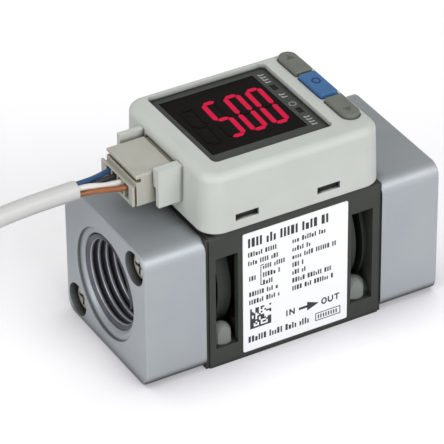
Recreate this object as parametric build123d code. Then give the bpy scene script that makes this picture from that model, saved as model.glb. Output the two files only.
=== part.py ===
from build123d import *
import math
import os

# A flow switch for air, in millimetres. X runs along the flow from inlet to outlet,
# the label looks along -Y, and Z is up from the face that the switch stands on.

# End blocks: two like castings, the outlet one turned half round about Z
BLOCK_LENGTH = 14.0
BLOCK_WIDTH = 35.0
BLOCK_HEIGHT = 32.0
BLOCK_EDGE_RADIUS = 3.1
BLOCK_FACE_EDGE = 0.3
SPOT_RADIUS = 12.4
SPOT_DEPTH = 0.6
THREAD_RADIUS = 10.48
THREAD_LENGTH = 10.4
THREAD_MOUTH = 0.7
FLOW_RADIUS = 9.3

# Screws that hold each block to the body, two corners across
SCREW_SIDE_INSET = 4.6
SCREW_TOP_INSET = 4.4
SCREW_RADIUS = 1.95
SCREW_CLEARANCE = 0.25
SCREW_TAP_CLEARANCE = 0.05
SCREW_HEAD_RADIUS = 3.4
SCREW_HEAD_HEIGHT = 2.6
SCREW_ENGAGEMENT = 6.1
COUNTERBORE_RADIUS = 3.75
COUNTERBORE_DEPTH = 3.9
RECESS_SPAN = 3.9
RECESS_WIDTH = 0.85
RECESS_DEPTH = 1.5

# Face seals and screens where the blocks meet the body
SEAL_INNER_RADIUS = 11.3
SEAL_WIDTH = 2.2
SEAL_THICKNESS = 1.5
SEAL_SIDE_CLEARANCE = 0.2
SCREEN_RADIUS = 10.2
SCREEN_THICKNESS = 0.8
SCREEN_SEAT_CLEARANCE = 0.1
SCREEN_BAR = 0.6
SCREEN_PITCH = 2.6

# Body moulding
BODY_LENGTH = 42.0
BODY_RISE = 0.3
BODY_TOP_RADIUS = 1.5
END_REBATE_LENGTH = 0.8
END_REBATE_DEPTH = 0.35
END_WALL = 2.25
FRONT_WALL = 1.5
SILL_HEIGHT = 4.4
ROOF_THICKNESS = 5.5
WINDOW_WIDTH = 5.25
BARREL_WALL = 1.7
COLLAR_RADIUS = 14.5
COLLAR_LENGTH = 3.1
FLANGE_RADIUS = 15.0
FLANGE_LENGTH = 0.85
SCREW_BOSS_RADIUS = 3.3
POST_RADIUS = 2.1
POST_HEIGHT = 8.5
POST_END_INSET = 5.0
POST_SIDE_INSET = 3.0
FOOT_HOLE_SPACING_X = 20.0
FOOT_HOLE_SPACING_Y = 26.0
FOOT_HOLE_RADIUS = 1.25
FOOT_HOLE_DEPTH = 6.5
FOOT_BOSS_RADIUS = 2.8
FOOT_BOSS_ROOF = 1.5
PLINTH_END_SETBACK = 0.5
PLINTH_SIDE_SETBACK = 0.2
PLINTH_HEIGHT = 0.4
PLINTH_CORNER = 4.0

# Flow sensor above the bore
SADDLE_LENGTH = 18.0
SADDLE_WIDTH = 16.0
TAP_RADIUS = 1.0
TAP_SPACING = 10.0
SENSOR_POCKET_DEPTH = 3.0
SENSOR_BOARD_LENGTH = 18.6
SENSOR_BOARD_WIDTH = 13.6
SENSOR_BOARD_THICKNESS = 1.0
SENSOR_POCKET_CLEARANCE = 0.2
SENSOR_GASKET_THICKNESS = 0.8
CHANNEL_WIDTH = 4.4
CHIP_LENGTH = 4.0
CHIP_WIDTH = 3.2
CHIP_THICKNESS = 0.5
SMALL_SCREW_RADIUS = 0.95
SMALL_SCREW_HEAD_RADIUS = 1.6
SMALL_SCREW_HEAD_HEIGHT = 1.2
SMALL_SCREW_INSET = 1.9
SMALL_SCREW_GRIP = 2.0
SMALL_SCREW_CLEARANCE = 0.1
LINK_LENGTH = 7.6
LINK_WIDTH = 2.5
LINK_STRIP_HEIGHT = 2.5
LINK_PIN = 0.6
LINK_PIN_PITCH = 2.54
THROTTLE_TAP_MARGIN = 0.2
THROTTLE_THROAT_RADIUS = 6.6
THROTTLE_LIP = 0.6
THROTTLE_CLEARANCE = 0.05

# Display housing
HOUSING_OVERHANG = 0.7
HOUSING_HEIGHT = 13.5
HOUSING_CORNER = 4.5
HOUSING_TOP_RADIUS = 1.8
HOUSING_DRAFT = 1.5
HOUSING_WALL = 1.8
HOUSING_TOP_WALL = 1.15
HOUSING_INNER_CORNER = 2.4
GASKET_THICKNESS = 0.4
WINDOW_PLUG_MARGIN = 4.9
WINDOW_BUTTON_MARGIN = 9.0
WINDOW_FRONT_MARGIN = 5.5
WINDOW_REAR_MARGIN = 2.2
WINDOW_OPENING_CORNER = 1.2
STOP_RIB_CENTRES = (-16.0, 12.4)
STOP_RIB_DEPTH = 0.9
STOP_RIB_WIDTH = 1.0

# Latches of the body that snap into slots in the housing
RIM_CLEARANCE = 0.4
RIM_WALL = 1.4
RIM_HEIGHT = 2.1
SLOT_LENGTH = 5.4
SLOT_HEIGHT = 1.55
SLOT_RISE = 2.75
SLOT_CENTRES = (-11.6, 7.6)
LATCH_CLEARANCE = 0.18
LATCH_HOOK = 1.2
BOARD_POST_RADIUS = 1.2
BOARD_POST_INSET = 2.4

# Display
TRAY_LIP = 0.9
TRAY_THICKNESS = 1.2
LED_PLUG_MARGIN = 2.0
LED_LEGEND_MARGIN = 3.7
LED_FRONT_MARGIN = 4.1
LED_REAR_MARGIN = 1.9
LED_HEIGHT = 5.9
LED_CLEARANCE = 0.1
LED_SHOULDER = 0.8
DIGIT_HEIGHT = 14.8
DIGIT_WIDTH = 4.0
DIGIT_PITCH = 5.15
DIGIT_STROKE = 1.1
DIGIT_GAP = 0.13
DIGIT_SLANT = 3.0
DIGIT_END_MARGIN = 3.3
DIGIT_DROP = 0.35
SEGMENT_THICKNESS = 0.08
LAMP_LENGTH = 1.1
LAMP_WIDTH = 2.0
LAMP_INSET = 2.15
LAMP_OFFSETS = (-4.25, 6.05)
LAMP_CLEARANCE = 0.05
BOARD_THICKNESS = 1.2
BOARD_CLEARANCE = 0.2

# Three buttons in a row beside the display
BUTTON_WIDTH = 4.1
BUTTON_INSET = 4.05
BUTTON_FRONT_MARGIN = 5.3
BUTTON_REAR_MARGIN = 2.1
BUTTON_SHARES = {"up": (0.6966, 1.0), "set": (0.3448, 0.669), "down": (0.0, 0.3069)}
BUTTON_CORNER = 0.4
BUTTON_GAP = 0.15
BUTTON_PROUD = 1.0
BUTTON_SKIRT = 1.35
BUTTON_EDGE = 0.35
BUTTON_TRAVEL = 0.4
LEDGE_LENGTH = 1.0
LEDGE_WIDTH = 3.0
LEDGE_CLEARANCE = 0.1
STEM_RADIUS = 0.9
SWITCH_SIZE = 4.4
SWITCH_HEIGHT = 2.3
PLUNGER_RADIUS = 1.0
PLUNGER_CLEARANCE = 0.06
PLUNGER_PROUD = 0.9
PLUNGER_DEPTH = 0.6
PLUNGER_ROOM = 0.3

# Four-way plug, its pins and the cheeks that guard it
PIN_RISE = 1.7
PIN_PITCH = 2.5
PIN_CENTRE_Y = 0.83
PIN_SIZE = 0.64
PIN_REACH = 6.0
HEADER_WIDTH = 12.3
HEADER_HEIGHT = 5.2
HEADER_DEPTH = 5.6
HEADER_PROUD = 0.2
HEADER_CLEARANCE = 0.4
PLUG_GAP = 0.3
PLUG_LENGTH = 8.5
PLUG_WIDTH = 12.7
PLUG_BELOW_PINS = 3.35
PLUG_ABOVE_PINS = 3.85
PLUG_TOP_PLATE = 0.8
PLUG_GROOVE = 0.9
PLUG_GROOVE_DEPTH = 1.1
PLUG_FLANGE_LENGTH = 1.0
PLUG_FLANGE_PROUD = 0.6
PLUG_FLANGE_HEIGHT = 4.4
PLUG_SIDE_GROOVE = 0.5
CAVITY_WIDTH = 1.9
CAVITY_BELOW_PINS = 2.5
CAVITY_ABOVE_PINS = 0.9
CAVITY_END_WALL = 0.8
CONTACT_SIZE = 1.6
CONTACT_LENGTH = 6.0
CONTACT_PIN_CLEARANCE = 0.04
CHEEK_LENGTH = 5.3
CHEEK_THICKNESS = 1.2
CHEEK_GAP = 1.2
CHEEK_BELOW_PLUG = 0.35
CHEEK_ABOVE_PLUG = 1.0
CHEEK_RIB_HEIGHT = 4.3
CHEEK_RIB_CLEARANCE = 0.15

# Label
LABEL_LENGTH = 25.0
LABEL_HEIGHT = 29.4
LABEL_X = 0.1
LABEL_SILL = 1.3
LABEL_THICKNESS = 0.15

# Lead: four cores, a round jacket and the coil of the put-away length
CORE_RADIUS = 0.6
CORE_SPREAD = 0.75
CABLE_RADIUS = 2.0
CABLE_ROUTE = [
    (-40.5, 0.8, 40.6),
    (-54.5, 0.8, 40.6),
    (-67.5, 1.2, 37.6),
    (-78.0, 5.0, 32.0),
    (-87.0, 12.5, 25.0),
    (-95.0, 21.0, 16.5),
    (-101.0, 30.0, 8.6),
    (-104.5, 39.0, 3.6),
    (-105.0, 47.5, 2.05),
    (-105.0, 53.0, 2.05),
]
COIL_INNER_TURN = 18.0
COIL_OUTER_TURN = 30.0
COIL_ROWS = 3
COIL_LEAD_IN = 16.5
FAR_CORE_ANGLE = 110.0

# Places that follow from the sizes above
body_end = BODY_LENGTH / 2
block_end = body_end + BLOCK_LENGTH
half_width = BLOCK_WIDTH / 2
plinth_length = BODY_LENGTH - 2 * PLINTH_END_SETBACK
plinth_width = BLOCK_WIDTH - 2 * PLINTH_SIDE_SETBACK
housing_width = BLOCK_WIDTH + 2 * HOUSING_OVERHANG
flow_z = BLOCK_HEIGHT / 2
body_height = BLOCK_HEIGHT + BODY_RISE
screw_y = half_width - SCREW_SIDE_INSET
screw_rise = BLOCK_HEIGHT / 2 - SCREW_TOP_INSET
screw_seat = block_end - COUNTERBORE_DEPTH
cavity_end = body_end - END_WALL
cavity_side = half_width - FRONT_WALL
cavity_roof = body_height - ROOF_THICKNESS
window_start = cavity_end - WINDOW_WIDTH
barrel_radius = FLOW_RADIUS + BARREL_WALL
plinth_z = body_height + PLINTH_HEIGHT
sensor_floor = body_height - SENSOR_POCKET_DEPTH
sensor_board_z = sensor_floor + SENSOR_GASKET_THICKNESS
sensor_top_z = sensor_board_z + SENSOR_BOARD_THICKNESS
small_screw_x = SENSOR_BOARD_LENGTH / 2 - SMALL_SCREW_INSET
small_screw_y = SENSOR_BOARD_WIDTH / 2 - SMALL_SCREW_INSET
housing_z = plinth_z + GASKET_THICKNESS
housing_top = housing_z + HOUSING_HEIGHT
ceiling_z = housing_top - HOUSING_TOP_WALL
inner_length = BODY_LENGTH - 2 * HOUSING_WALL
inner_width = housing_width - 2 * HOUSING_WALL
rim_length = inner_length - 2 * RIM_CLEARANCE
rim_width = inner_width - 2 * RIM_CLEARANCE
slot_z = housing_z + SLOT_RISE
window_length = BODY_LENGTH - WINDOW_PLUG_MARGIN - WINDOW_BUTTON_MARGIN
window_width = housing_width - WINDOW_FRONT_MARGIN - WINDOW_REAR_MARGIN
window_x = (WINDOW_PLUG_MARGIN - WINDOW_BUTTON_MARGIN) / 2
window_y = (WINDOW_FRONT_MARGIN - WINDOW_REAR_MARGIN) / 2
led_length = window_length - LED_PLUG_MARGIN - LED_LEGEND_MARGIN
led_width = window_width - LED_FRONT_MARGIN - LED_REAR_MARGIN
led_x = window_x + (LED_PLUG_MARGIN - LED_LEGEND_MARGIN) / 2
led_y = window_y + (LED_FRONT_MARGIN - LED_REAR_MARGIN) / 2
digit_last_x = led_x + led_length / 2 - DIGIT_END_MARGIN
digit_y = led_y - DIGIT_DROP
lamp_x = window_x + window_length / 2 - LAMP_INSET
lamp_rows = [window_y + offset for offset in LAMP_OFFSETS]
button_x = body_end - BUTTON_INSET
button_front = BUTTON_FRONT_MARGIN - housing_width / 2
button_run = housing_width - BUTTON_FRONT_MARGIN - BUTTON_REAR_MARGIN
button_spans = {
    name: (button_front + start * button_run, button_front + end * button_run)
    for name, (start, end) in BUTTON_SHARES.items()
}
tray_z = ceiling_z - TRAY_THICKNESS
board_top = tray_z - LED_HEIGHT
board_z = board_top - BOARD_THICKNESS
led_face = ceiling_z - LED_CLEARANCE
button_base = ceiling_z - BUTTON_SKIRT
switch_top = board_top + SWITCH_HEIGHT
pin_z = board_top + PIN_RISE
pin_rows = [PIN_CENTRE_Y + PIN_PITCH * (i - 1.5) for i in range(4)]
header_face = -(body_end + HEADER_PROUD)
plug_front = header_face - PLUG_GAP
plug_back = plug_front - PLUG_LENGTH
plug_bottom = pin_z - PLUG_BELOW_PINS
plug_top = pin_z + PLUG_ABOVE_PINS
contact_back = plug_front - CAVITY_END_WALL - CONTACT_LENGTH
coil_centre = (CABLE_ROUTE[-1][0] + COIL_OUTER_TURN, CABLE_ROUTE[-1][1] + COIL_LEAD_IN)
coil_height = 2 * CABLE_RADIUS * COIL_ROWS


def span(x0, x1, y0, y1, z0, z1):
    centre = Pos((x0 + x1) / 2, (y0 + y1) / 2, (z0 + z1) / 2)
    return centre * Box(x1 - x0, y1 - y0, z1 - z0)


def rod_x(radius, x0, x1, y=0.0, z=flow_z):
    return Pos((x0 + x1) / 2, y, z) * Rot(0, 90, 0) * Cylinder(radius, x1 - x0)


def rod_z(radius, z0, z1, x=0.0, y=0.0):
    return Pos(x, y, (z0 + z1) / 2) * Cylinder(radius, z1 - z0)


def rounded_slab(length, width, corner, z0, z1, x=0.0, y=0.0, taper=0.0):
    outline = Pos(x, y, z0) * RectangleRounded(length, width, corner)
    return extrude(outline, z1 - z0, taper=taper)


def screw_places(side):
    # The top screw of the inlet block is at the front, that of the outlet block at the rear
    return [(side * screw_y, flow_z + screw_rise), (-side * screw_y, flow_z - screw_rise)]


def port_block():
    # The inlet block; its spot face, thread and counterbores open towards -X
    block = span(-block_end, -body_end, -half_width, half_width, 0, BLOCK_HEIGHT)
    block = fillet(block.edges().filter_by(Axis.X), BLOCK_EDGE_RADIUS)
    block = chamfer(block.faces().sort_by(Axis.X)[0].edges(), BLOCK_FACE_EDGE)
    spot_floor = -block_end + SPOT_DEPTH
    thread_end = spot_floor + THREAD_MOUTH + THREAD_LENGTH
    block -= rod_x(SPOT_RADIUS, -block_end - 1, spot_floor)
    mouth = Cone(THREAD_RADIUS, THREAD_RADIUS + THREAD_MOUTH, THREAD_MOUTH)
    block -= Pos(spot_floor + THREAD_MOUTH / 2, 0, flow_z) * Rot(0, -90, 0) * mouth
    block -= rod_x(THREAD_RADIUS, spot_floor, thread_end)
    block -= rod_x(FLOW_RADIUS, spot_floor, -body_end + 1)
    gland = rod_x(SEAL_INNER_RADIUS + SEAL_WIDTH, -body_end - SEAL_THICKNESS, -body_end + 1)
    gland -= rod_x(SEAL_INNER_RADIUS, -body_end - SEAL_THICKNESS - 1, -body_end + 1)
    block -= gland
    for y, z in screw_places(-1):
        block -= rod_x(COUNTERBORE_RADIUS, -block_end - 1, -screw_seat, y, z)
        block -= rod_x(SCREW_RADIUS + SCREW_CLEARANCE, -block_end, -body_end + 1, y, z)
    return block


def block_screw():
    # A cross-recess pan head screw along +X, its head's underside at X = 0
    head = rod_x(SCREW_HEAD_RADIUS, -SCREW_HEAD_HEIGHT, 0, 0, 0)
    crown = head.faces().sort_by(Axis.X)[0].edges()
    head = fillet(crown, SCREW_HEAD_HEIGHT * 0.55)
    reach = screw_seat - body_end + SCREW_ENGAGEMENT
    screw = head + rod_x(SCREW_RADIUS, 0, reach, 0, 0)
    screw = chamfer(screw.faces().sort_by(Axis.X)[-1].edges(), SCREW_RADIUS * 0.3)
    for length, width in ((RECESS_SPAN, RECESS_WIDTH), (RECESS_WIDTH, RECESS_SPAN)):
        screw -= Pos(-SCREW_HEAD_HEIGHT, 0, 0) * Box(2 * RECESS_DEPTH, length, width)
    return screw


def block_screws():
    # The pair of the inlet block
    return [Pos(-screw_seat, y, z) * block_screw() for y, z in screw_places(-1)]


def turned(shape):
    # A piece of the inlet end, set half round for the outlet end
    return Rot(0, 0, 180) * shape


def face_seal():
    x0 = -body_end - SEAL_THICKNESS
    inner = SEAL_INNER_RADIUS + SEAL_SIDE_CLEARANCE
    outer = SEAL_INNER_RADIUS + SEAL_WIDTH - SEAL_SIDE_CLEARANCE
    ring = rod_x(outer, x0, -body_end) - rod_x(inner, x0 - 1, -body_end + 1)
    return chamfer(ring.edges(), SEAL_THICKNESS * 0.2)


def screen():
    # A disc with square openings in its seat in the end face of the body
    disc = rod_x(SCREEN_RADIUS, -body_end, -body_end + SCREEN_THICKNESS)
    side = SCREEN_PITCH - SCREEN_BAR
    reach = FLOW_RADIUS - SCREEN_BAR - side * math.sqrt(0.5)
    steps = int(FLOW_RADIUS / SCREEN_PITCH)
    x = -body_end + SCREEN_THICKNESS / 2
    for i in range(-steps, steps + 1):
        for j in range(-steps, steps + 1):
            y, z = i * SCREEN_PITCH, j * SCREEN_PITCH
            if math.hypot(y, z) < reach:
                disc -= Pos(x, y, flow_z + z) * Box(2 * SCREEN_THICKNESS, side, side)
    return disc


def body_outside():
    outside = span(-body_end, body_end, -half_width, half_width, 0, body_height)
    long_edges = outside.edges().filter_by(Axis.X).group_by(Axis.Z)[-1]
    outside = fillet(long_edges, BODY_TOP_RADIUS)
    for side in (-1, 1):
        x = side * (body_end - END_REBATE_LENGTH / 2)
        frame = Pos(x, 0, body_height / 2)
        frame *= Box(END_REBATE_LENGTH, BLOCK_WIDTH + 2, body_height + 2)
        core_width = BLOCK_WIDTH - 2 * END_REBATE_DEPTH
        core_height = body_height - END_REBATE_DEPTH
        frame -= Pos(x, 0, core_height / 2) * Box(END_REBATE_LENGTH, core_width, core_height)
        outside -= frame
    plinth = rounded_slab(plinth_length, plinth_width, PLINTH_CORNER, cavity_roof, plinth_z)
    return outside + plinth


def body_hollow():
    # The room inside the walls, less what the moulding leaves standing in it
    hollow = span(-cavity_end, cavity_end, -cavity_side, cavity_side, SILL_HEIGHT, cavity_roof)
    hollow -= rod_x(barrel_radius, -cavity_end, cavity_end)
    hollow -= span(
        -SADDLE_LENGTH / 2, SADDLE_LENGTH / 2, -SADDLE_WIDTH / 2, SADDLE_WIDTH / 2,
        flow_z, cavity_roof
    )
    for side in (-1, 1):
        collar = sorted((side * window_start, side * (window_start + COLLAR_LENGTH)))
        flange = sorted((side * (cavity_end - FLANGE_LENGTH), side * cavity_end))
        hollow -= rod_x(COLLAR_RADIUS, *collar)
        hollow -= rod_x(FLANGE_RADIUS, *flange)
        boss = sorted((side * (body_end - SCREW_ENGAGEMENT - 0.6), side * cavity_end))
        for y, z in screw_places(side):
            hollow -= rod_x(SCREW_BOSS_RADIUS, *boss, y, z)
        for front in (-1, 1):
            x, y = side * (body_end - POST_END_INSET), front * (half_width - POST_SIDE_INSET)
            hollow -= rod_z(POST_RADIUS, 0, POST_HEIGHT - POST_RADIUS, x, y)
            hollow -= Pos(x, y, POST_HEIGHT - POST_RADIUS) * Sphere(POST_RADIUS)
            x, y = side * FOOT_HOLE_SPACING_X / 2, front * FOOT_HOLE_SPACING_Y / 2
            hollow -= rod_z(FOOT_BOSS_RADIUS, 0, FOOT_HOLE_DEPTH + FOOT_BOSS_ROOF, x, y)
    return hollow


def rim_and_latches():
    rim = rounded_slab(rim_length, rim_width, HOUSING_INNER_CORNER - RIM_CLEARANCE, body_height,
                       plinth_z + RIM_HEIGHT)
    rim -= rounded_slab(rim_length - 2 * RIM_WALL, rim_width - 2 * RIM_WALL,
                        HOUSING_INNER_CORNER / 2, body_height - 1, housing_top)
    hook_half = SLOT_HEIGHT / 2 - LATCH_CLEARANCE
    tab_half = SLOT_LENGTH / 2 - LATCH_CLEARANCE
    for x in SLOT_CENTRES:
        for front in (-1, 1):
            inner = front * (rim_width / 2 - RIM_WALL)
            outer = front * rim_width / 2
            tip = front * (rim_width / 2 + LATCH_HOOK)
            tab = span(x - tab_half, x + tab_half, *sorted((inner, outer)), body_height,
                       slot_z + hook_half)
            hook = span(x - tab_half, x + tab_half, *sorted((outer, tip)), slot_z - hook_half,
                        slot_z + hook_half)
            lead = hook.edges().filter_by(Axis.X).sort_by(Axis.Z)[-2:].sort_by(Axis.Y)
            lead = lead[0] if front < 0 else lead[-1]
            rim += tab + chamfer(lead, SLOT_HEIGHT * 0.4)
    for x in (-1, 1):
        for y in (-1, 1):
            post_x = x * (rim_length / 2 - BOARD_POST_INSET + RIM_CLEARANCE)
            post_y = y * (rim_width / 2 - BOARD_POST_INSET + RIM_CLEARANCE)
            rim += rod_z(BOARD_POST_RADIUS, body_height, board_z, post_x, post_y)
    return rim


def flow_body():
    body = body_outside() - body_hollow()
    for side in (-1, 1):
        x0, x1 = sorted((side * window_start, side * cavity_end))
        for front in (-1, 1):
            y0, y1 = sorted((front * cavity_side, front * (half_width + 1)))
            body -= span(x0, x1, y0, y1, SILL_HEIGHT, cavity_roof)
            foot = (side * FOOT_HOLE_SPACING_X / 2, front * FOOT_HOLE_SPACING_Y / 2)
            body -= rod_z(FOOT_HOLE_RADIUS, -1, FOOT_HOLE_DEPTH, *foot)
        seat = sorted((side * (body_end - SCREEN_THICKNESS), side * (body_end + 1)))
        body -= rod_x(SCREEN_RADIUS + SCREEN_SEAT_CLEARANCE, *seat)
        hole = sorted((side * (body_end - SCREW_ENGAGEMENT), side * (body_end + 1)))
        for y, z in screw_places(side):
            body -= rod_x(SCREW_RADIUS + SCREW_TAP_CLEARANCE, *hole, y, z)
    body -= rod_x(FLOW_RADIUS, -body_end - 1, body_end + 1)
    pocket_length = SENSOR_BOARD_LENGTH + 2 * SENSOR_POCKET_CLEARANCE
    pocket_width = SENSOR_BOARD_WIDTH + 2 * SENSOR_POCKET_CLEARANCE
    body -= rounded_slab(pocket_length, pocket_width, 1, sensor_floor, housing_top)
    for side in (-1, 1):
        body -= rod_z(TAP_RADIUS, flow_z, housing_top, side * TAP_SPACING / 2)
        hole = (side * small_screw_x, side * small_screw_y)
        bottom = sensor_floor - SMALL_SCREW_GRIP
        body -= rod_z(SMALL_SCREW_RADIUS + SCREW_TAP_CLEARANCE, bottom, housing_top, *hole)
    return body + rim_and_latches()


def throttle():
    # A venturi ring in the bore, between the two taps of the sensor
    outer = FLOW_RADIUS - THROTTLE_CLEARANCE
    half = TAP_SPACING / 2 - TAP_RADIUS - THROTTLE_TAP_MARGIN
    profile = make_face(Polyline(
        (-half, outer), (half, outer), (half, outer - THROTTLE_LIP),
        (half * 0.25, THROTTLE_THROAT_RADIUS), (-half * 0.25, THROTTLE_THROAT_RADIUS),
        (-half, outer - THROTTLE_LIP), (-half, outer)
    ))
    return Pos(0, 0, flow_z) * revolve(Plane.XZ * profile, Axis.X)


def sensor_plate(z0, z1):
    plate = rounded_slab(SENSOR_BOARD_LENGTH, SENSOR_BOARD_WIDTH, 1, z0, z1)
    for side in (-1, 1):
        x, y = side * small_screw_x, side * small_screw_y
        plate -= rod_z(SMALL_SCREW_RADIUS + SMALL_SCREW_CLEARANCE, z0 - 1, z1 + 1, x, y)
    return plate


def sensor_gasket():
    channel = TAP_SPACING + 2 * TAP_RADIUS + 1
    gasket = sensor_plate(sensor_floor, sensor_board_z)
    return gasket - rounded_slab(channel, CHANNEL_WIDTH, 1, sensor_floor - 1, sensor_board_z + 1)


def board_screws():
    screws = []
    for side in (-1, 1):
        x, y = side * small_screw_x, side * small_screw_y
        shank_end = sensor_floor - SMALL_SCREW_GRIP
        head_top = sensor_top_z + SMALL_SCREW_HEAD_HEIGHT
        head = rod_z(SMALL_SCREW_HEAD_RADIUS, sensor_top_z, head_top, x, y)
        head = chamfer(head.faces().sort_by(Axis.Z)[-1].edges(), SMALL_SCREW_HEAD_HEIGHT * 0.3)
        screws.append(head + rod_z(SMALL_SCREW_RADIUS, shank_end, sensor_top_z, x, y))
    return screws


def board_link():
    # A stacking connector between the sensor board and the main board
    half_length, half_link = LINK_LENGTH / 2, LINK_WIDTH / 2
    link = Part() + [
        span(-half_length, half_length, -half_link, half_link, z, z + LINK_STRIP_HEIGHT)
        for z in (sensor_top_z, board_z - LINK_STRIP_HEIGHT)
    ]
    for i in (-1, 0, 1):
        x = i * LINK_PIN_PITCH
        link += span(x - LINK_PIN / 2, x + LINK_PIN / 2, -LINK_PIN / 2, LINK_PIN / 2,
                     sensor_top_z, board_z)
    return link


def button_outline(name, grow):
    # The outer two are rounded off at their far ends, the middle one is a plain oblong
    y0, y1 = button_spans[name]
    width, length = BUTTON_WIDTH + 2 * grow, y1 - y0 + 2 * grow
    middle = (y0 + y1) / 2
    outline = RectangleRounded(width, length, BUTTON_CORNER)
    if name != "set":
        end = 1 if name == "up" else -1
        keep = Pos(0, -end * width / 4) * Rectangle(width, length - width / 2)
        outline = (outline & keep) + Pos(0, end * (length - width) / 2) * Circle(width / 2)
    return Pos(button_x, middle) * outline


def button(name):
    cap_height = housing_top + BUTTON_PROUD - button_base
    cap = extrude(Pos(0, 0, button_base) * button_outline(name, 0), cap_height)
    cap = fillet(cap.faces().sort_by(Axis.Z)[-1].edges(), BUTTON_EDGE)
    middle = sum(button_spans[name]) / 2
    side = button_x - BUTTON_WIDTH / 2
    cap += span(side - LEDGE_LENGTH, side + 0.5, middle - LEDGE_WIDTH / 2, middle + LEDGE_WIDTH / 2,
                button_base, ceiling_z - LEDGE_CLEARANCE)
    return cap + rod_z(STEM_RADIUS, switch_top + PLUNGER_PROUD, button_base, button_x, middle)


def switch_plunger(name):
    middle = sum(button_spans[name]) / 2
    low, high = switch_top - PLUNGER_DEPTH, switch_top + PLUNGER_PROUD
    return rod_z(PLUNGER_RADIUS, low, high, button_x, middle)


def key_switches():
    switches = []
    for ends in button_spans.values():
        middle = sum(ends) / 2
        base = Pos(button_x, middle, board_top + SWITCH_HEIGHT / 2)
        base *= Box(SWITCH_SIZE, SWITCH_SIZE, SWITCH_HEIGHT)
        base = chamfer(base.edges().filter_by(Axis.Z), SWITCH_SIZE * 0.1)
        depth = PLUNGER_DEPTH + BUTTON_TRAVEL + PLUNGER_ROOM
        bore = PLUNGER_RADIUS + PLUNGER_CLEARANCE
        switches.append(base - rod_z(bore, switch_top - depth, switch_top + 1, button_x, middle))
    return switches


def cheeks():
    # Two guards beside the plug, with a rib inside the upper half of the front one
    guards = Part()
    low, high = plug_bottom - CHEEK_BELOW_PLUG, plug_top + CHEEK_ABOVE_PLUG
    tip = -(body_end + CHEEK_LENGTH)
    root = -inner_length / 2
    for side in (-1, 1):
        inner = PIN_CENTRE_Y + side * (PLUG_WIDTH / 2 + CHEEK_GAP)
        y0, y1 = sorted((inner, inner + side * CHEEK_THICKNESS))
        guards += span(tip, root, y0, y1, low, high)
    inner = PIN_CENTRE_Y - PLUG_WIDTH / 2
    guards += span(tip, root, inner - CHEEK_GAP, inner - CHEEK_RIB_CLEARANCE,
                   high - CHEEK_RIB_HEIGHT, high)
    return guards


def display_housing():
    shell = rounded_slab(BODY_LENGTH, housing_width, HOUSING_CORNER, housing_z, housing_top,
                         taper=HOUSING_DRAFT)
    shell = fillet(shell.faces().sort_by(Axis.Z)[-1].edges(), HOUSING_TOP_RADIUS)
    shell += cheeks()
    shell -= rounded_slab(inner_length, inner_width, HOUSING_INNER_CORNER, housing_z - 1, ceiling_z)
    shell -= rounded_slab(window_length, window_width, WINDOW_OPENING_CORNER,
                          ceiling_z - 1, housing_top + 1, window_x, window_y)
    for name in button_spans:
        opening = Pos(0, 0, ceiling_z - 1) * button_outline(name, BUTTON_GAP)
        shell -= extrude(opening, HOUSING_TOP_WALL + 2)
    for x in SLOT_CENTRES:
        shell -= Pos(x, 0, slot_z) * Box(SLOT_LENGTH, housing_width + 2, SLOT_HEIGHT)
    inlet = HEADER_WIDTH / 2 + HEADER_CLEARANCE
    shell -= span(-body_end - 1, -inner_length / 2 + 1, PIN_CENTRE_Y - inlet, PIN_CENTRE_Y + inlet,
                  board_z, board_top + HEADER_HEIGHT + HEADER_CLEARANCE)
    for front in (-1, 1):
        wall = front * inner_width / 2
        y0, y1 = sorted((wall - front * STOP_RIB_DEPTH, wall + front * 0.2))
        for x in STOP_RIB_CENTRES:
            shell += span(x - STOP_RIB_WIDTH / 2, x + STOP_RIB_WIDTH / 2, y0, y1,
                          board_top, tray_z - 0.3)
    return shell


def housing_gasket():
    ring = rounded_slab(plinth_length, plinth_width, PLINTH_CORNER, plinth_z, housing_z)
    inner_corner = HOUSING_INNER_CORNER - RIM_CLEARANCE / 2
    return ring - rounded_slab(rim_length + RIM_CLEARANCE, rim_width + RIM_CLEARANCE, inner_corner,
                               plinth_z - 1, housing_z + 1)


def display_panel():
    # The tray under the window, open where the digits and the two lamps show
    length, width = window_length + 2 * TRAY_LIP, window_width + TRAY_LIP
    rear = inner_width / 2 - BOARD_CLEARANCE
    tray = rounded_slab(length, width, WINDOW_OPENING_CORNER, tray_z, ceiling_z, window_x,
                        rear - width / 2)
    tray -= Pos(led_x, led_y, tray_z) * Box(led_length, led_width, 4 * TRAY_THICKNESS)
    for y in lamp_rows:
        tray -= Pos(lamp_x, y, tray_z) * Box(
            LAMP_LENGTH + 2 * LAMP_CLEARANCE, LAMP_WIDTH + 2 * LAMP_CLEARANCE, 4 * TRAY_THICKNESS
        )
    return tray


def led_display():
    # The digit block: a shoulder carries the tray and its face stands in the opening
    low = span(
        led_x - led_length / 2 - LED_SHOULDER, led_x + led_length / 2 + LED_SHOULDER / 2,
        led_y - led_width / 2 - LED_SHOULDER, led_y + led_width / 2 + LED_SHOULDER, board_top, tray_z,
    )
    face = span(
        led_x - led_length / 2 + LED_CLEARANCE, led_x + led_length / 2 - LED_CLEARANCE,
        led_y - led_width / 2 + LED_CLEARANCE, led_y + led_width / 2 - LED_CLEARANCE, tray_z, led_face,
    )
    return low + face


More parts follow.
